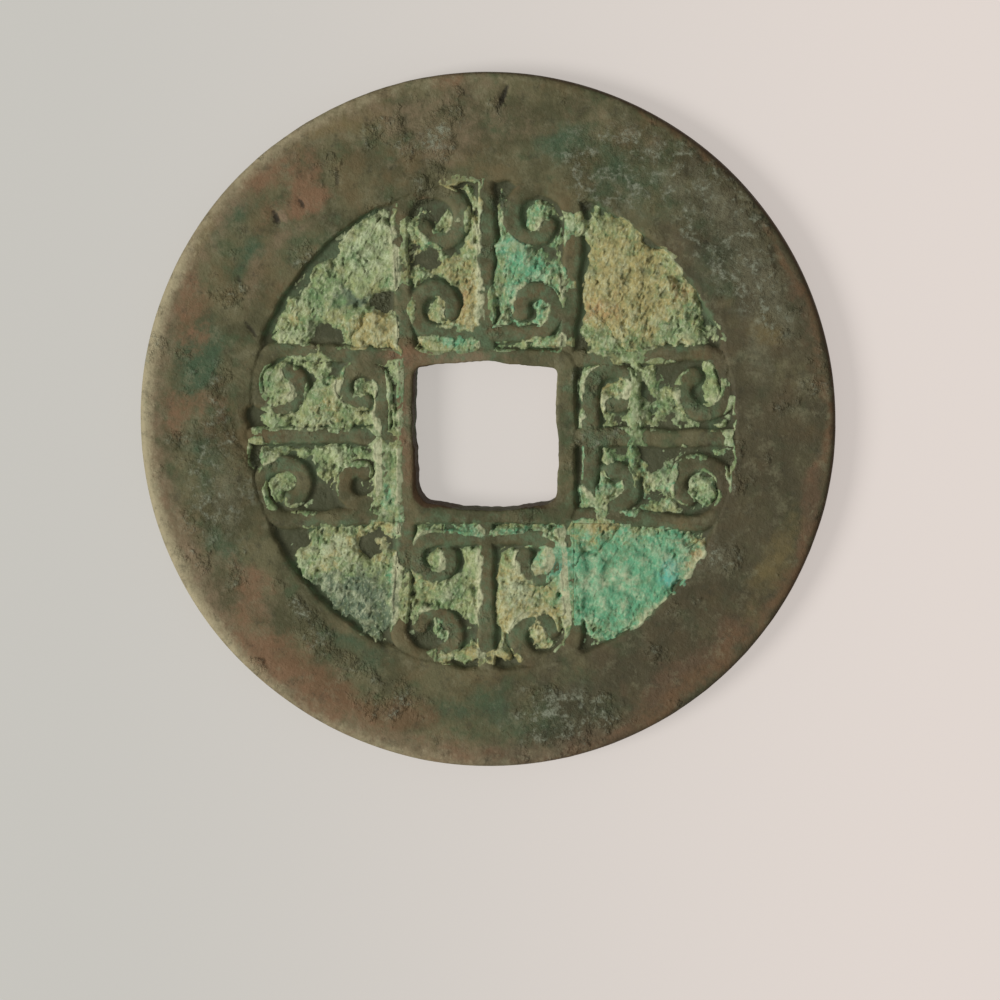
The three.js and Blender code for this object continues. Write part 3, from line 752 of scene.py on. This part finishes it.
def mineral_cover(x, y, edges):
    """How richly mineral stands at a place, which is bare below 0: the corners are full but for
    their gaps, the scrolls' pockets follow their growths, noise breaks up both, and nothing grows
    in the narrow tips between a stroke and the outer rim."""
    full = in_corner(x, y)
    placed = full * (0.6 + bells(x, y, gaps)) + (1 - full) * (bells(x, y, growths) + 0.04)
    tip = np.exp(-(((np.maximum(edges[0], 0) + np.maximum(edges[2], 0)) / 0.6) ** 2))
    return placed - 1.3 * tip + 0.22 * rough(x, y, 0.9, 101) + 0.13 * rough(x, y, 0.28, 105)


def grains(x, y, size, seed):
    """The distance to the nearest of points scattered one to a cell, in cells, and that point's
    own number from 0 to 1."""
    cells = 149
    table = np.random.default_rng(seed).random((3, cells, cells))
    i, j = np.floor(x / size).astype(int), np.floor(y / size).astype(int)
    nearest, own = np.full(x.shape, 9.0), np.zeros(x.shape)
    for di in (-1, 0, 1):
        for dj in (-1, 0, 1):
            at = ((i + di) % cells, (j + dj) % cells)
            gap = np.hypot(x / size - i - di - table[0][at], y / size - j - dj - table[1][at])
            own = np.where(gap < nearest, table[2][at], own)
            nearest = np.minimum(nearest, gap)
    return nearest, own


def grain_relief(x, y):
    """The grains' height about their mean: domes of many heights, finer domes on them, and slits
    and pits where grains have dropped out. They are drawn out up and down the coin and lean a
    little, and their places are shaken so that no row shows."""
    across = x - 0.3 * y + 0.05 * rough(x, y, 0.17, 114, 2)
    along = (y + 0.05 * rough(x, y, 0.17, 118, 2)) / 1.5
    near, own = grains(across, along, 0.15, 111)
    fine, fine_own = grains(across, along, 0.085, 112)
    domes = (0.3 + 0.7 * own) * (1 - near**2) - 0.4
    fine_domes = (0.2 + 0.8 * fine_own) * (1 - fine**2) - 0.4
    slits = ease((rough(across, along, 0.15, 113, 2) - 0.45) / 0.45)
    pits = ease((rough(across, along, 0.3, 115, 2) - 0.62) / 0.35)
    return 0.05 * domes + 0.045 * fine_domes - 0.054 * slits - 0.057 * pits


# The square lattice that every crust is cut from, the metal below it, and how far each place lies
# past the line on which a corner's two minerals meet.
spacing = 0.03
beyond_field = 0.45
lattice = np.arange(0, 2 * (field_radius + beyond_field), spacing) - field_radius - beyond_field
lattice_x, lattice_y = np.meshgrid(field_middle[0] + lattice, field_middle[1] + lattice, indexing="ij")
lattice_edges = pocket_edges(lattice_x, lattice_y)
metal_z = face_height(lattice_x, lattice_y, lattice_edges)
pocket = np.min(lattice_edges, axis=0)
wall_x, wall_y = np.gradient(pocket, spacing)
hole_reach = np.hypot(lattice_x - hole_middle[0], lattice_y - hole_middle[1])
hole_reach += 0.25 * rough(lattice_x, lattice_y, 0.9, 121)
meeting_left = np.where(lattice_y > hole_middle[1], 6.5, 6.4)
meeting_right = np.where(lattice_y > hole_middle[1], 6.3, 6.1)
past_meeting = hole_reach - np.where(lattice_x < hole_middle[0], meeting_left, meeting_right)


def crust_height():
    """The height of the mineral, that of its grains and lumps, and where it is a smooth flank: a
    body on the floor where there is cover, left out beside walls that face the coin's right, drawn
    up walls that face its left and over their edge, with a broken crack where two minerals meet.
    What comes near the coin's own height is pressed down by 1 - e^-t."""
    x, y = lattice_x, lattice_y
    inside, above = np.maximum(pocket, 0), np.maximum(-pocket, 0)
    faces_right, faces_left = ease(wall_x - 0.3 * wall_y), ease(0.3 * wall_y - wall_x)
    full = in_corner(x, y)
    cover = mineral_cover(x, y, lattice_edges)
    by_rim = np.exp(-((np.maximum(lattice_edges[2], 0) / 0.7) ** 2))
    by_flank = 0.7 * faces_left * ease(0.5 + rough(x, y, 1.1, 137, 2))
    bays = by_rim * ease(0.2 + 1.3 * rough(x, y, 0.9, 133, 2))
    bays += 0.8 * np.exp(-((inside / 0.25) ** 2)) * ease(1.3 * rough(x, y, 0.7, 135, 2))
    gap_width = 0.1 + 0.1 * full + 0.06 * by_rim + 0.18 * ease(0.4 + rough(x, y, 0.8, 123))
    gap = (0.75 + 0.35 * full) * faces_right * np.exp(-((inside / gap_width) ** 2))
    overgrown = bells(x, y, overgrowths)
    bridged = ease(overgrown / 0.8)
    standing_cover = cover - gap * (1 - bridged) - 0.8 * bays * (1 - by_flank) * (1 - bridged)
    flank = faces_left * np.exp(-inside / 0.2) * ease(standing_cover / 0.3)
    body = (0.15 + 0.09 * full * ease(inside / 1.1)) * ease(standing_cover / 0.4)
    body *= 1 - 0.45 * faces_right * np.exp(-inside / 0.5) * (1 - bridged)
    lumps = 0.065 * rough(x, y, 0.8, 109, 2) + 0.05 * rough(x, y, 0.36, 110, 2)
    body += 0.14 * bridged * ease(standing_cover / 0.4)
    body += lumps * (1 - 0.5 * flank) - 0.07 * ease(-standing_cover / 0.1) - bells(x, y, hollows)
    climb = 0.12 * flank
    film = np.minimum(bells(x, y, films), 1)
    relief = grain_relief(x, y) * (1 - 0.6 * flank) * (1 - 0.65 * film)
    crack = 0.13 * full * np.exp(-((past_meeting / 0.07) ** 2)) * ease(0.5 + rough(x, y, 0.7, 125))
    in_pocket = coin_thickness - field_depth + body + climb + relief - crack - 3 * above
    lap = 0.8 * standing_cover + 0.7 * rough(x, y, 0.7, 127) + 0.4 * rough(x, y, 0.25, 129, 2)
    lap += 1.9 * overgrown
    lap += 0.25 * faces_left - 1.1 * (1 - ease(1.5 * overgrown)) * faces_right - above / 0.22 - 0.2
    on_top = metal_z - 0.02 + 0.055 * ease(lap / 0.4) + 0.85 * relief + 0.3 * lumps
    on_top = np.where((pocket < 0.05) & (lap > 0), on_top, 0)
    height = np.maximum(in_pocket, on_top)
    cap, give = coin_thickness - 0.03, 0.052
    height = np.minimum(height, cap) + give * (1 - np.exp(-np.maximum(height - cap, 0) / give))
    return height, relief + 0.4 * lumps, flank


# Where a crust is bare it lies just below the metal, and its whole underside lies deeper.
bare_depth = 0.015
crust_root = 0.05
crust_z, crust_relief, crust_flank = crust_height()
bare = crust_z < metal_z - bare_depth
crust_top = np.maximum(crust_z, metal_z - bare_depth)
crust_bottom = metal_z - crust_root


def cell_mask(region):
    """The cells of the lattice that a crust keeps: those of its region with mineral on them, less
    what is narrower than three cells, and with cells that touch only at a corner joined."""
    kept = region & ~(bare[:-1, :-1] & bare[1:, :-1] & bare[:-1, 1:] & bare[1:, 1:])
    least = 3
    size = (kept.shape[0] - least + 1, kept.shape[1] - least + 1)
    shifts = [(di, dj) for di in range(least) for dj in range(least)]
    sound = np.logical_and.reduce([kept[di : di + size[0], dj : dj + size[1]] for di, dj in shifts])
    opened = np.zeros_like(kept)
    for di, dj in shifts:
        opened[di : di + size[0], dj : dj + size[1]] |= sound
    rounds = 12
    for _ in range(rounds):
        a, b = opened[:-1, :-1], opened[1:, :-1]
        c, d = opened[:-1, 1:], opened[1:, 1:]
        rising = a & d & ~b & ~c
        falling = b & c & ~a & ~d
        if not (rising | falling).any():
            break
        opened[1:, :-1] |= rising
        opened[:-1, :-1] |= falling
    return opened


def crust_piece(name, region):
    """A closed skin over its cells: grainy top, bottom a root's depth inside the metal, and a wall
    along every side that has no neighbour."""
    kept = cell_mask(region)
    used = np.zeros(lattice_x.shape, bool)
    for di in (0, 1):
        for dj in (0, 1):
            used[di : di + kept.shape[0], dj : dj + kept.shape[1]] |= kept
    number = np.cumsum(used.ravel()).reshape(used.shape) - 1
    count = int(used.sum())
    i, j = np.nonzero(kept)
    corners = [number[i, j], number[i + 1, j], number[i + 1, j + 1], number[i, j + 1]]
    padded = np.pad(kept, 1)
    open_sides = [~padded[i + 1, j], ~padded[i + 2, j + 1], ~padded[i + 1, j + 2], ~padded[i, j + 1]]
    walls = []
    for side, is_open in enumerate(open_sides):
        start, end = corners[side][is_open], corners[(side + 1) % 4][is_open]
        walls.append(np.stack([start + count, end + count, end, start], 1))
    top = np.stack(corners, 1)
    quads = np.concatenate([top, top[:, ::-1] + count, *walls])
    x, y = lattice_x[used], lattice_y[used]
    points = np.concatenate([np.stack([x, y, crust_top[used]], 1), np.stack([x, y, crust_bottom[used]], 1)])
    made = piece(name, points, quads, np.arange(len(quads)) < len(top))
    return made, used


# Where the minerals' colours gather, across the borders of the crusts: x, y, half width, half
# height and amount.
mineral_places = {
    "tan": [
        (-4.3, 3.5, 1.5, 0.8, 1.0), (-7.4, 3.8, 0.8, 0.9, 0.6), (-0.8, 4.4, 0.8, 1.5, 0.9),
        (2.4, 3.2, 1.6, 0.4, 0.8), (5.4, 5.8, 2.2, 1.6, 0.8), (4.9, 4.4, 1.6, 0.8, 0.8),
        (-5.2, -5.0, 1.8, 0.8, 0.8), (1.6, -5.8, 1.0, 0.7, 0.8), (1.6, -7.6, 1.2, 0.7, 0.9),
        (-0.2, -9.2, 2.6, 0.5, 0.8), (4.8, -4.3, 1.3, 0.7, 1.0), (8.4, -5.4, 0.7, 0.7, 1.0),
        (-6.0, 0.6, 0.8, 1.3, 0.7), (4.6, 1.5, 0.7, 1.6, 0.8), (-2.6, -6.0, 1.0, 1.2, 0.5),
        (8.3, -4.0, 0.9, 0.3, 0.8), (8.1, -4.8, 0.8, 0.7, 1.2), (-1.7, 9.2, 1.0, 0.4, 0.8),
    ],
    "orange": [
        (4.4, 4.7, 1.0, 0.8, 0.95), (7.7, 5.3, 0.9, 0.7, 0.7), (-3.9, 3.3, 0.9, 0.5, 0.5),
        (8.1, -5.0, 0.5, 0.5, 1.1), (-0.8, 4.5, 0.4, 0.9, 0.6), (1.2, -7.8, 0.8, 0.4, 0.4),
        (3.0, 3.1, 0.8, 0.3, 0.6), (-0.9, 5.2, 0.4, 0.5, 0.5),
    ],
    "turquoise": [
        (4.9, -6.2, 2.3, 2.0, 1.1), (2.7, -5.4, 1.0, 0.7, 0.9), (7.2, -5.9, 0.9, 1.2, 1.0),
        (-1.0, 3.2, 1.1, 0.7, 0.9), (1.4, 5.6, 1.1, 1.8, 0.7), (-3.6, -3.2, 0.4, 1.1, 0.7),
        (-3.7, 1.2, 0.6, 0.8, 0.5), (3.6, -1.8, 0.5, 1.3, 0.5), (-2.2, 7.2, 0.9, 0.6, 0.5),
        (0.5, -4.3, 3.0, 0.3, 1.0),
    ],
    "blue": [
        (2.6, -5.5, 0.7, 0.5, 0.7), (7.4, -5.8, 0.6, 0.8, 1.2), (1.0, 6.8, 0.8, 0.4, 0.5),
    ],
    "emerald": [
        (-3.75, -6.3, 0.3, 0.8, 1.1), (-3.6, -4.6, 0.3, 0.9, 0.7), (-0.9, 3.2, 1.0, 0.4, 0.8),
        (0.9, 5.9, 0.3, 1.2, 0.6), (3.4, -6.9, 0.9, 0.5, 0.8), (-8.9, 0.2, 0.4, 1.6, 0.5),
        (-5.2, 1.9, 1.6, 0.3, 0.5), (-1.6, -8.2, 0.6, 0.9, 0.7), (4.2, -2.6, 0.3, 1.2, 0.6),
        (9.4, -0.4, 0.3, 1.2, 0.5), (-2.3, 6.9, 0.5, 0.5, 0.7), (-6.9, -7.2, 0.5, 0.6, 0.6),
    ],
    # Dark: darker mineral, and painted shade in the crust's hollows, where most of these lie.
    "dark": [
        (-5.2, 4.75, 0.75, 0.45, 1.3), (-5.6, -6.8, 1.7, 1.0, 1.9), (-4.4, -7.6, 0.8, 0.7, 1.0),
        (6.9, -1.0, 1.8, 2.2, 0.6), (1.2, 5.0, 1.2, 1.2, 0.5), (-4.2, -8.2, 0.8, 0.5, 0.7),
        (-7.6, -0.6, 0.8, 1.2, 0.6), (-6.2, 6.1, 0.5, 0.6, 0.5), (5.8, 7.2, 0.7, 0.4, 0.4),
        (0.5, -4.3, 3.0, 0.3, 0.5),
    ],
    "pale": [
        (-7.0, 4.2, 0.9, 0.6, 0.6), (-4.8, 6.6, 1.8, 1.4, 0.8), (-0.1, 7.7, 0.5, 0.7, 0.8),
        (4.6, -6.1, 1.3, 0.9, 0.8), (8.6, 3.6, 0.6, 1.2, 0.6), (3.5, 7.4, 0.6, 1.0, 0.6),
        (-8.3, -2.0, 0.4, 1.6, 0.6), (-3.9, 1.2, 0.4, 1.0, 0.7), (9.4, -0.6, 0.3, 3.0, 0.7),
        (-4.0, -1.8, 0.3, 1.6, 0.6), (1.4, -6.3, 0.9, 1.3, 0.9), (5.1, 6.5, 1.0, 0.9, 0.5),
        (-5.6, -5.0, 1.5, 0.55, 0.9), (-3.6, -4.4, 0.5, 0.8, 0.6), (-6.4, -0.3, 1.2, 0.8, 0.7),
        (-5.4, 1.2, 0.9, 0.7, 0.5),
    ],
}

# How much tan and turquoise each mineral holds all over.
mineral_base = {"green": (0.0, 0.0), "tan": (0.4, 0.0), "turquoise": (0.0, 0.4)}


def dress_crust(made, used, mineral):
    """Gives a crust's points the shares of the tints that its material lays over each other."""
    x, y = lattice_x[used], lattice_y[used]
    wx, wy = x + 0.3 * rough(x, y, 0.8, 141), y + 0.3 * rough(x, y, 0.8, 145)
    tan_base, turquoise_base = mineral_base[mineral]
    shares = {name: bells(wx, wy, places) for name, places in mineral_places.items()}
    shares["tan"] += tan_base
    shares["turquoise"] += turquoise_base
    shares["thin"] = ease(1 - (crust_top[used] - metal_z[used]) / 0.045)
    # Flank: where the crust climbs walls that face the lamp, painted there with a highlight.
    shares["flank"] = crust_flank[used]
    shares["film"] = np.minimum(bells(wx, wy, films), 1)
    # Pit and crest: painted shade in the grains' pits and painted highlight on their crests.
    shares["pit"] = ease(-(crust_relief[used] + 0.01) / 0.08)
    shares["crest"] = ease((crust_relief[used] - 0.005) / 0.05)
    for name, share in shares.items():
        tint(made, name, np.concatenate([share, share]))


def mineral_look(name, crest_highlight):
    """Granular mineral: green broken by tan, orange earth, turquoise and blue, with painted highlights
    on the crests of its grains and on flanks that face the lamp, painted shade in its pits, and dark
    where it thins out. Crest highlight is how strong the painted highlight on the crests is."""
    made, tree, shader = look(name, 0.95, 0.1)
    grainy = reckon(tree, "MULTIPLY_ADD", reading(tree, "film"), -0.75)
    grainy.node.inputs[2].default_value = 1
    grainy_blotches = lambda *noise: reckon(tree, "MULTIPLY", blotches(tree, *noise), grainy)
    colour = blend(tree, blotches(tree, 0.8, 41, 0.36, 0.64), (0.15, 0.225, 0.095), (0.275, 0.32, 0.145))
    colour = overlaid(tree, colour, [
        (blotches(tree, 1.2, 52, 0.5, 0.62, 7, roughness=0.65), 0.6, (0.29, 0.27, 0.115)),
        (blotches(tree, 1.0, 54, 0.52, 0.66, 7, roughness=0.65), 0.6, (0.09, 0.19, 0.085)),
        (broken(tree, "tan", 0.45, 0.3, 1.0, 3.2), 1, (0.335, 0.285, 0.118)),
        (broken(tree, "turquoise", 0.45, 0.3, 1.1, 3.0), 1, (0.12, 0.325, 0.18)),
        (broken(tree, "orange", 0.35, 0.35, 1.2, 3.0), 1, (0.33, 0.22, 0.098)),
        (broken(tree, "blue", 0.35, 0.3, 1.2, 2.6), 1, (0.11, 0.35, 0.26)),
        (broken(tree, "emerald", 0.35, 0.3, 1.2, 2.8), 1, (0.055, 0.22, 0.105)),
        (broken(tree, "pale", 0.3, 0.3, 1.3, 2.8), 1, (0.42, 0.47, 0.29)),
        # Painted highlight on flanks that face the lamp.
        (broken(tree, "flank", 0.3, 0.25, 1.0), 1, (0.45, 0.45, 0.27)),
        (broken(tree, "dark", 0.35, 0.3, 1.2, 2.8), 1, (0.1, 0.135, 0.085)),
        (blotches(tree, 0.6, 46, 0.5, 0.64, 8, roughness=0.7), 0.5, (0.125, 0.175, 0.085)),
        (blotches(tree, 0.5, 48, 0.52, 0.66, 8, roughness=0.7), 0.45, (0.44, 0.46, 0.29)),
        (grainy_blotches(0.4, 42, 0.48, 0.68, 8), 0.5, (0.14, 0.138, 0.068)),
        # Painted highlight on the grains' crests.
        (reading(tree, "crest"), crest_highlight, (0.5, 0.53, 0.34)),
        (grainy_blotches(0.13, 43, 0.5, 0.68, 4, (1, 0.6, 1)), 0.6, (0.105, 0.13, 0.058)),
        (grainy_blotches(0.1, 45, 0.52, 0.7, 4, (1, 0.6, 1)), 0.5, (0.48, 0.52, 0.33)),
        (reading(tree, "thin"), 0.5, (0.085, 0.11, 0.06)),
        # Painted shade in the grains' pits.
        (reading(tree, "pit"), 0.5, (0.05, 0.065, 0.03)),
    ])
    tree.links.new(colour, shader.inputs["Base Color"])
    inputs = {"Height": cloud(tree, 0.06, 47, 4), "Strength": 0.6, "Distance": 0.03 * MM}
    bump = node(tree, "ShaderNodeBump", {}, inputs)
    tree.links.new(bump.outputs[0], shader.inputs["Normal"])
    return made


minerals = {
    "green": mineral_look("green_crust", 0.4),
    "tan": mineral_look("tan_crust", 0.3),
    "turquoise": mineral_look("turquoise_crust", 0.35),
}

cell_x = lattice_x[:-1, :-1] + spacing / 2
cell_y = lattice_y[:-1, :-1] + spacing / 2
by_hole_cells = past_meeting[:-1, :-1] < 0
past_x, past_y = beyond_inner_rim(cell_x, cell_y)
corner_cells = (past_x > 0) & (past_y > 0)
side_cells = ~corner_cells & (np.maximum(past_x, past_y) > -0.25)
right_of_hole, above_hole = cell_x > hole_middle[0], cell_y > hole_middle[1]
in_half = {"upper": above_hole, "lower": ~above_hole, "left": ~right_of_hole, "right": right_of_hole}
upright_cells, level_cells = side_cells & (past_y > past_x), side_cells & ~(past_y > past_x)
in_scroll = {
    "top": upright_cells & above_hole,
    "left": level_cells & ~right_of_hole,
    "bottom": upright_cells & ~above_hole,
    "right": level_cells & right_of_hole,
}

# The minerals of each corner by the hole and by the rim, and those of each scroll's halves.
corner_minerals = [
    ("upper", "left", "tan", "green"), ("upper", "right", "green", "tan"),
    ("lower", "right", "tan", "turquoise"), ("lower", "left", "tan", "green"),
]
scroll_minerals = [
    ("top", "left", "tan"), ("top", "right", "turquoise"),
    ("left", "lower", "green"), ("left", "upper", "green"),
    ("bottom", "right", "tan"), ("bottom", "left", "green"),
    ("right", "upper", "green"), ("right", "lower", "turquoise"),
]
places = {}
for height, side, by_hole, by_rim in corner_minerals:
    quarter = corner_cells & in_half[height] & in_half[side]
    places[f"{height}_{side}_{by_hole}_crust_by_hole"] = (quarter & by_hole_cells, by_hole)
    places[f"{height}_{side}_{by_rim}_crust_by_rim"] = (quarter & ~by_hole_cells, by_rim)
for side, half, mineral in scroll_minerals:
    places[f"{side}_scroll_{half}_{mineral}_crust"] = (in_scroll[side] & in_half[half], mineral)

for crust_node, (region, mineral) in places.items():
    crust, used = crust_piece(crust_node.replace("crust", "mineral"), region)
    dress_crust(crust, used, mineral)
    crust.data.materials.append(minerals[mineral])
    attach(crust, "root")
    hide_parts(crust_node)

# Round the crusts the metal is stained green, and so are patches of the back.
stain = ease((mineral_cover(metal_x, metal_y, pocket_edges(metal_x, metal_y)) + 0.25) / 0.6)
in_field = ease((field_radius + 0.3 - np.hypot(metal_x - field_middle[0], metal_y - field_middle[1])) / 0.4)
stain *= in_field * facing_up * ease(from_hole / 0.4)
stain += 0.9 * ease(0.1 + 1.3 * rough(metal_x, metal_y, 2.6, 151)) * ease(sunk_depth / 0.15) * ~facing_up
tint(casting, "stain", stain * (0.65 + 0.35 * ease(sunk_depth / field_depth)))

# The floor: a plain pale sheet that the coin lies on, a little greyer to the left. Part of its
# brightness is its own, so that the shadows on it stay light.

half_floor = 600 * MM
floor_mesh = bpy.data.meshes.new("floor")
floor_corners = [(x * half_floor, y * half_floor, 0) for x, y in ((-1, -1), (1, -1), (1, 1), (-1, 1))]
floor_mesh.from_pydata(floor_corners, [], [(0, 1, 2, 3)])
floor = bpy.data.objects.new("floor", floor_mesh)
bpy.context.scene.collection.objects.link(floor)


def seen_straight(tree):
    """1 for the camera and for gloss and glass, and 0 for light that bounces."""
    rays = node(tree, "ShaderNodeLightPath", {}, {}).outputs
    shiny = reckon(tree, "ADD", rays["Is Glossy Ray"], rays["Is Transmission Ray"])
    return between(tree, reckon(tree, "ADD", rays["Is Camera Ray"], shiny), 0, 1)


open_shade = 0.7
paper, tree, shader = look("pale_floor", 0.9, 0.1)
coordinates = node(tree, "ShaderNodeTexCoord", {}, {}).outputs["Object"]
across = node(tree, "ShaderNodeSeparateXYZ", {}, {0: coordinates}).outputs["X"]
warmth = between(tree, across, -0.02, 0.02)
colour = blend(tree, warmth, (0.57, 0.555, 0.515), (0.75, 0.675, 0.63))
tree.links.new(blend(tree, open_shade, colour, (0, 0, 0)), shader.inputs["Base Color"])
tree.links.new(colour, shader.inputs["Emission Color"])
shine = reckon(tree, "MULTIPLY", seen_straight(tree), open_shade)
tree.links.new(shine, shader.inputs["Emission Strength"])
floor.data.materials.append(paper)

# The light: a broad soft lamp on the left, and an even surround that looks paler to the camera than
# the light that it sheds.

light_from = Vector((-0.72, -0.16, 0.64))
lamp = bpy.data.lights.new("soft_lamp", "SUN")
lamp.energy = 3.0
lamp.angle = np.radians(25)
lamp_object = bpy.data.objects.new("soft_lamp", lamp)
lamp_object.rotation_euler = light_from.to_track_quat("Z", "Y").to_euler()
bpy.context.scene.collection.objects.link(lamp_object)
world = bpy.data.worlds.new("studio")
bpy.context.scene.world = world
world.use_nodes = True
tree = world.node_tree
fill = 0.375
surround = blend(tree, seen_straight(tree), (fill, fill, fill), (0.68, 0.64, 0.61))
tree.links.new(surround, tree.nodes["Background"].inputs["Color"])

# The camera: it looks from a little to the coin's upper right. In the photograph's frame, which is
# 1000 pixels wide, the middle of the face falls on one pixel and the coin's width takes so many.

frame_pixels = 1000
coin_pixels = 698
face_middle_pixel = np.array([485.8, 421.9])
half_view = np.radians(6)
view_tilt = np.radians(6.3)
view_turn = np.radians(45)
pixel = 2 * coin_radius * MM / coin_pixels
distance = frame_pixels / 2 * pixel / np.tan(half_view)
lean = np.sin(view_tilt)
backward = Vector((lean * np.cos(view_turn), lean * np.sin(view_turn), np.cos(view_tilt)))
face_middle = Vector((0, 0, coin_thickness * MM))
camera_at = face_middle + backward * distance
right = Vector((0, 1, 0)).cross(backward).normalized()
off_x, off_y = (frame_pixels / 2 - face_middle_pixel) * pixel
aim = face_middle + right * off_x - backward.cross(right) * off_y
backward = (camera_at - aim).normalized()
right = Vector((0, 1, 0)).cross(backward).normalized()
camera = bpy.data.cameras.new("camera")
camera.sensor_width = 36
camera.lens = camera.sensor_width / 2 / np.tan(half_view)
camera.clip_start, camera.clip_end = 0.005, 5
camera_object = bpy.data.objects.new("camera", camera)
turned = Matrix((right, backward.cross(right), backward)).transposed().to_4x4()
camera_object.matrix_world = Matrix.Translation(camera_at) @ turned
bpy.context.scene.collection.objects.link(camera_object)
bpy.context.scene.camera = camera_object
bpy.context.scene.view_settings.view_transform = "Standard"

bpy.context.view_layer.update()
